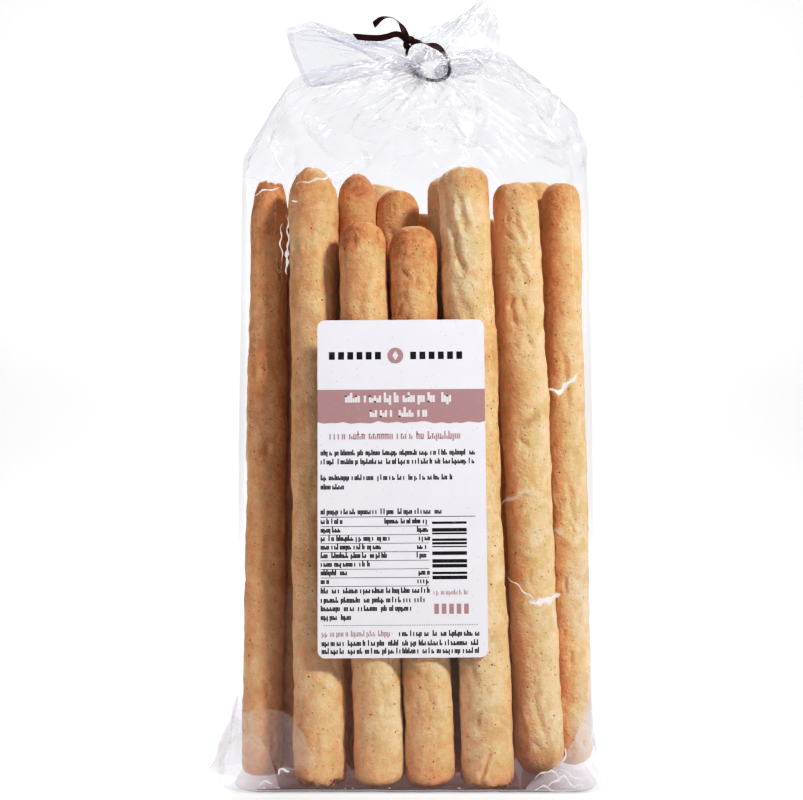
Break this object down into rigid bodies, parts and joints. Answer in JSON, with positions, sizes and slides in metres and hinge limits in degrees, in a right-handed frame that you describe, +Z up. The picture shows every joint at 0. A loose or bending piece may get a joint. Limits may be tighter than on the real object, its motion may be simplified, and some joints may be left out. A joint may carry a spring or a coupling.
{
  "type": "pack of grissini breadsticks",
  "caption": "Clear sealed bag standing on its flat base, full of upright thick breadsticks, with a plain printed paper label on its front and a ribbon round its gathered neck.",
  "frame": {"origin": "on the underside of the flat base, in the middle of the bag's body", "axes": "+Z up, the front with the label faces -Y, +X to the right seen from the front"},
  "size_m": [0.1401, 0.0506, 0.29],
  "materials": {
    "film": "clear glossy film",
    "crust": "dry baked crust",
    "label_paper": "matte printed paper",
    "ribbon": "satin ribbon"
  },
  "bodies": {
    "root": {"bag": "film", "label": "label_paper", "tie": "ribbon"}
  },
  "joints": []
}
